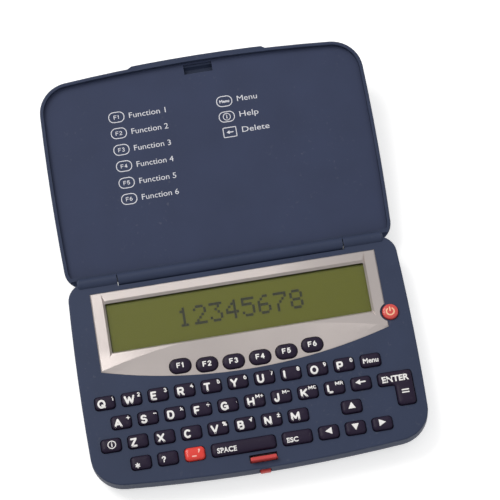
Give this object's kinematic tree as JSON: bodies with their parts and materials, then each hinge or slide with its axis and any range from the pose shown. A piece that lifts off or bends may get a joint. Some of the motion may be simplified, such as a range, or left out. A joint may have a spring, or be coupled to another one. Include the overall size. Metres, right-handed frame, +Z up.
{
  "type": "electronic dictionary",
  "caption": "Pocket electronic dictionary in a hinged two-part case, with a wide display in a silver bezel and a thumb keyboard.",
  "frame": {"origin": "centre of the base's flat underside", "axes": "+X to the user's right, +Y from the front edge towards the hinge and the open lid, +Z up from the table"},
  "size_m": [0.1244, 0.1653, 0.0194],
  "materials": {
    "case_navy": "fine moulded texture",
    "panel_navy": "smooth satin",
    "bezel_silver": "silver paint on plastic",
    "window_clear": "clear, glossy",
    "display_green": "unlit dot-matrix display",
    "board_green": "solder mask",
    "mat_rubber": "moulded silicone",
    "key_dark": "smooth, slight sheen",
    "key_red": "glossy",
    "latch_red": "glossy",
    "power_red": "glossy",
    "cell_steel": "nickel-plated",
    "screw_steel": "plain",
    "pin_steel": "plain"
  },
  "bodies": {
    "base": {"bottom_case": "case_navy", "top_case": "case_navy", "display_bezel": "bezel_silver", "display_window": "window_clear", "display_module": "display_green", "circuit_board": "board_green", "key_mat": "mat_rubber", "coin_cells": "cell_steel", "case_screws": "screw_steel", "hinge_pins": "pin_steel"},
    "lid": {"lid_shell": "case_navy", "lid_liner": "panel_navy"},
    "latch": {"latch": "latch_red"},
    "battery_cover": {"battery_cover": "case_navy"},
    "power_button": {"power_button": "power_red"},
    "key_q": {"key_q": "key_dark"},
    "key_w": {"key_w": "key_dark"},
    "key_e": {"key_e": "key_dark"},
    "key_r": {"key_r": "key_dark"},
    "key_t": {"key_t": "key_dark"},
    "key_y": {"key_y": "key_dark"},
    "key_u": {"key_u": "key_dark"},
    "key_i": {"key_i": "key_dark"},
    "key_o": {"key_o": "key_dark"},
    "key_p": {"key_p": "key_dark"},
    "key_menu": {"key_menu": "key_dark"},
    "key_a": {"key_a": "key_dark"},
    "key_s": {"key_s": "key_dark"},
    "key_d": {"key_d": "key_dark"},
    "key_f": {"key_f": "key_dark"},
    "key_g": {"key_g": "key_dark"},
    "key_h": {"key_h": "key_dark"},
    "key_j": {"key_j": "key_dark"},
    "key_k": {"key_k": "key_dark"},
    "key_l": {"key_l": "key_dark"},
    "key_back": {"key_back": "key_dark"},
    "key_info": {"key_info": "key_dark"},
    "key_z": {"key_z": "key_dark"},
    "key_x": {"key_x": "key_dark"},
    "key_c": {"key_c": "key_dark"},
    "key_v": {"key_v": "key_dark"},
    "key_b": {"key_b": "key_dark"},
    "key_n": {"key_n": "key_dark"},
    "key_m": {"key_m": "key_dark"},
    "key_star": {"key_star": "key_dark"},
    "key_help": {"key_help": "key_dark"},
    "key_red": {"key_red": "key_red"},
    "key_up": {"key_up": "key_dark"},
    "key_left": {"key_left": "key_dark"},
    "key_down": {"key_down": "key_dark"},
    "key_right": {"key_right": "key_dark"},
    "key_space": {"key_space": "key_dark"},
    "key_esc": {"key_esc": "key_dark"},
    "key_enter": {"key_enter": "key_dark"},
    "function_key_1": {"function_key_1": "key_dark"},
    "function_key_2": {"function_key_2": "key_dark"},
    "function_key_3": {"function_key_3": "key_dark"},
    "function_key_4": {"function_key_4": "key_dark"},
    "function_key_5": {"function_key_5": "key_dark"},
    "function_key_6": {"function_key_6": "key_dark"}
  },
  "joints": [
    {"name": "lid_hinge", "type": "hinge", "parent": "base", "child": "lid", "pos_m": [0, 0.041, 0.0094], "axis": [1, 0, 0], "range_deg": [0, 172]},
    {"name": "latch_slide", "type": "slide", "parent": "base", "child": "latch", "axis": [0, 1, 0], "range_m": [0, 0.0012], "stiffness_N_per_m": 500, "springref_m": -0.0005},
    {"name": "battery_cover_slide", "type": "slide", "parent": "base", "child": "battery_cover", "axis": [0, 0, -1], "range_m": [0, 0.008]},
    {"name": "power_button_press", "type": "slide", "parent": "base", "child": "power_button", "axis": [0, 0, -1], "range_m": [0, 0.0008], "stiffness_N_per_m": 600, "springref_m": -0.0003, "deforming": ["key_mat"]},
    {"name": "key_q_press", "type": "slide", "parent": "base", "child": "key_q", "axis": [0, 0, -1], "range_m": [0, 0.0008], "stiffness_N_per_m": 400, "springref_m": -0.0003, "deforming": ["key_mat"]},
    {"name": "key_w_press", "type": "slide", "parent": "base", "child": "key_w", "axis": [0, 0, -1], "range_m": [0, 0.0008], "stiffness_N_per_m": 400, "springref_m": -0.0003, "deforming": ["key_mat"]},
    {"name": "key_e_press", "type": "slide", "parent": "base", "child": "key_e", "axis": [0, 0, -1], "range_m": [0, 0.0008], "stiffness_N_per_m": 400, "springref_m": -0.0003, "deforming": ["key_mat"]},
    {"name": "key_r_press", "type": "slide", "parent": "base", "child": "key_r", "axis": [0, 0, -1], "range_m": [0, 0.0008], "stiffness_N_per_m": 400, "springref_m": -0.0003, "deforming": ["key_mat"]},
    {"name": "key_t_press", "type": "slide", "parent": "base", "child": "key_t", "axis": [0, 0, -1], "range_m": [0, 0.0008], "stiffness_N_per_m": 400, "springref_m": -0.0003, "deforming": ["key_mat"]},
    {"name": "key_y_press", "type": "slide", "parent": "base", "child": "key_y", "axis": [0, 0, -1], "range_m": [0, 0.0008], "stiffness_N_per_m": 400, "springref_m": -0.0003, "deforming": ["key_mat"]},
    {"name": "key_u_press", "type": "slide", "parent": "base", "child": "key_u", "axis": [0, 0, -1], "range_m": [0, 0.0008], "stiffness_N_per_m": 400, "springref_m": -0.0003, "deforming": ["key_mat"]},
    {"name": "key_i_press", "type": "slide", "parent": "base", "child": "key_i", "axis": [0, 0, -1], "range_m": [0, 0.0008], "stiffness_N_per_m": 400, "springref_m": -0.0003, "deforming": ["key_mat"]},
    {"name": "key_o_press", "type": "slide", "parent": "base", "child": "key_o", "axis": [0, 0, -1], "range_m": [0, 0.0008], "stiffness_N_per_m": 400, "springref_m": -0.0003, "deforming": ["key_mat"]},
    {"name": "key_p_press", "type": "slide", "parent": "base", "child": "key_p", "axis": [0, 0, -1], "range_m": [0, 0.0008], "stiffness_N_per_m": 400, "springref_m": -0.0003, "deforming": ["key_mat"]},
    {"name": "key_menu_press", "type": "slide", "parent": "base", "child": "key_menu", "axis": [0, 0, -1], "range_m": [0, 0.0008], "stiffness_N_per_m": 400, "springref_m": -0.0003, "deforming": ["key_mat"]},
    {"name": "key_a_press", "type": "slide", "parent": "base", "child": "key_a", "axis": [0, 0, -1], "range_m": [0, 0.0008], "stiffness_N_per_m": 400, "springref_m": -0.0003, "deforming": ["key_mat"]},
    {"name": "key_s_press", "type": "slide", "parent": "base", "child": "key_s", "axis": [0, 0, -1], "range_m": [0, 0.0008], "stiffness_N_per_m": 400, "springref_m": -0.0003, "deforming": ["key_mat"]},
    {"name": "key_d_press", "type": "slide", "parent": "base", "child": "key_d", "axis": [0, 0, -1], "range_m": [0, 0.0008], "stiffness_N_per_m": 400, "springref_m": -0.0003, "deforming": ["key_mat"]},
    {"name": "key_f_press", "type": "slide", "parent": "base", "child": "key_f", "axis": [0, 0, -1], "range_m": [0, 0.0008], "stiffness_N_per_m": 400, "springref_m": -0.0003, "deforming": ["key_mat"]},
    {"name": "key_g_press", "type": "slide", "parent": "base", "child": "key_g", "axis": [0, 0, -1], "range_m": [0, 0.0008], "stiffness_N_per_m": 400, "springref_m": -0.0003, "deforming": ["key_mat"]},
    {"name": "key_h_press", "type": "slide", "parent": "base", "child": "key_h", "axis": [0, 0, -1], "range_m": [0, 0.0008], "stiffness_N_per_m": 400, "springref_m": -0.0003, "deforming": ["key_mat"]},
    {"name": "key_j_press", "type": "slide", "parent": "base", "child": "key_j", "axis": [0, 0, -1], "range_m": [0, 0.0008], "stiffness_N_per_m": 400, "springref_m": -0.0003, "deforming": ["key_mat"]},
    {"name": "key_k_press", "type": "slide", "parent": "base", "child": "key_k", "axis": [0, 0, -1], "range_m": [0, 0.0008], "stiffness_N_per_m": 400, "springref_m": -0.0003, "deforming": ["key_mat"]},
    {"name": "key_l_press", "type": "slide", "parent": "base", "child": "key_l", "axis": [0, 0, -1], "range_m": [0, 0.0008], "stiffness_N_per_m": 400, "springref_m": -0.0003, "deforming": ["key_mat"]},
    {"name": "key_back_press", "type": "slide", "parent": "base", "child": "key_back", "axis": [0, 0, -1], "range_m": [0, 0.0008], "stiffness_N_per_m": 400, "springref_m": -0.0003, "deforming": ["key_mat"]},
    {"name": "key_info_press", "type": "slide", "parent": "base", "child": "key_info", "axis": [0, 0, -1], "range_m": [0, 0.0008], "stiffness_N_per_m": 400, "springref_m": -0.0003, "deforming": ["key_mat"]},
    {"name": "key_z_press", "type": "slide", "parent": "base", "child": "key_z", "axis": [0, 0, -1], "range_m": [0, 0.0008], "stiffness_N_per_m": 400, "springref_m": -0.0003, "deforming": ["key_mat"]},
    {"name": "key_x_press", "type": "slide", "parent": "base", "child": "key_x", "axis": [0, 0, -1], "range_m": [0, 0.0008], "stiffness_N_per_m": 400, "springref_m": -0.0003, "deforming": ["key_mat"]},
    {"name": "key_c_press", "type": "slide", "parent": "base", "child": "key_c", "axis": [0, 0, -1], "range_m": [0, 0.0008], "stiffness_N_per_m": 400, "springref_m": -0.0003, "deforming": ["key_mat"]},
    {"name": "key_v_press", "type": "slide", "parent": "base", "child": "key_v", "axis": [0, 0, -1], "range_m": [0, 0.0008], "stiffness_N_per_m": 400, "springref_m": -0.0003, "deforming": ["key_mat"]},
    {"name": "key_b_press", "type": "slide", "parent": "base", "child": "key_b", "axis": [0, 0, -1], "range_m": [0, 0.0008], "stiffness_N_per_m": 400, "springref_m": -0.0003, "deforming": ["key_mat"]},
    {"name": "key_n_press", "type": "slide", "parent": "base", "child": "key_n", "axis": [0, 0, -1], "range_m": [0, 0.0008], "stiffness_N_per_m": 400, "springref_m": -0.0003, "deforming": ["key_mat"]},
    {"name": "key_m_press", "type": "slide", "parent": "base", "child": "key_m", "axis": [0, 0, -1], "range_m": [0, 0.0008], "stiffness_N_per_m": 400, "springref_m": -0.0003, "deforming": ["key_mat"]},
    {"name": "key_star_press", "type": "slide", "parent": "base", "child": "key_star", "axis": [0, 0, -1], "range_m": [0, 0.0008], "stiffness_N_per_m": 400, "springref_m": -0.0003, "deforming": ["key_mat"]},
    {"name": "key_help_press", "type": "slide", "parent": "base", "child": "key_help", "axis": [0, 0, -1], "range_m": [0, 0.0008], "stiffness_N_per_m": 400, "springref_m": -0.0003, "deforming": ["key_mat"]},
    {"name": "key_red_press", "type": "slide", "parent": "base", "child": "key_red", "axis": [0, 0, -1], "range_m": [0, 0.0008], "stiffness_N_per_m": 400, "springref_m": -0.0003, "deforming": ["key_mat"]},
    {"name": "key_up_press", "type": "slide", "parent": "base", "child": "key_up", "axis": [0, 0, -1], "range_m": [0, 0.0008], "stiffness_N_per_m": 400, "springref_m": -0.0003, "deforming": ["key_mat"]},
    {"name": "key_left_press", "type": "slide", "parent": "base", "child": "key_left", "axis": [0, 0, -1], "range_m": [0, 0.0008], "stiffness_N_per_m": 400, "springref_m": -0.0003, "deforming": ["key_mat"]},
    {"name": "key_down_press", "type": "slide", "parent": "base", "child": "key_down", "axis": [0, 0, -1], "range_m": [0, 0.0008], "stiffness_N_per_m": 400, "springref_m": -0.0003, "deforming": ["key_mat"]},
    {"name": "key_right_press", "type": "slide", "parent": "base", "child": "key_right", "axis": [0, 0, -1], "range_m": [0, 0.0008], "stiffness_N_per_m": 400, "springref_m": -0.0003, "deforming": ["key_mat"]},
    {"name": "key_space_press", "type": "slide", "parent": "base", "child": "key_space", "axis": [0, 0, -1], "range_m": [0, 0.0008], "stiffness_N_per_m": 400, "springref_m": -0.0003, "deforming": ["key_mat"]},
    {"name": "key_esc_press", "type": "slide", "parent": "base", "child": "key_esc", "axis": [0, 0, -1], "range_m": [0, 0.0008], "stiffness_N_per_m": 400, "springref_m": -0.0003, "deforming": ["key_mat"]},
    {"name": "key_enter_press", "type": "slide", "parent": "base", "child": "key_enter", "axis": [0, 0, -1], "range_m": [0, 0.0008], "stiffness_N_per_m": 400, "springref_m": -0.0003, "deforming": ["key_mat"]},
    {"name": "function_key_1_press", "type": "slide", "parent": "base", "child": "function_key_1", "axis": [0, 0, -1], "range_m": [0, 0.0008], "stiffness_N_per_m": 400, "springref_m": -0.0003, "deforming": ["key_mat"]},
    {"name": "function_key_2_press", "type": "slide", "parent": "base", "child": "function_key_2", "axis": [0, 0, -1], "range_m": [0, 0.0008], "stiffness_N_per_m": 400, "springref_m": -0.0003, "deforming": ["key_mat"]},
    {"name": "function_key_3_press", "type": "slide", "parent": "base", "child": "function_key_3", "axis": [0, 0, -1], "range_m": [0, 0.0008], "stiffness_N_per_m": 400, "springref_m": -0.0003, "deforming": ["key_mat"]},
    {"name": "function_key_4_press", "type": "slide", "parent": "base", "child": "function_key_4", "axis": [0, 0, -1], "range_m": [0, 0.0008], "stiffness_N_per_m": 400, "springref_m": -0.0003, "deforming": ["key_mat"]},
    {"name": "function_key_5_press", "type": "slide", "parent": "base", "child": "function_key_5", "axis": [0, 0, -1], "range_m": [0, 0.0008], "stiffness_N_per_m": 400, "springref_m": -0.0003, "deforming": ["key_mat"]},
    {"name": "function_key_6_press", "type": "slide", "parent": "base", "child": "function_key_6", "axis": [0, 0, -1], "range_m": [0, 0.0008], "stiffness_N_per_m": 400, "springref_m": -0.0003, "deforming": ["key_mat"]}
  ]
}
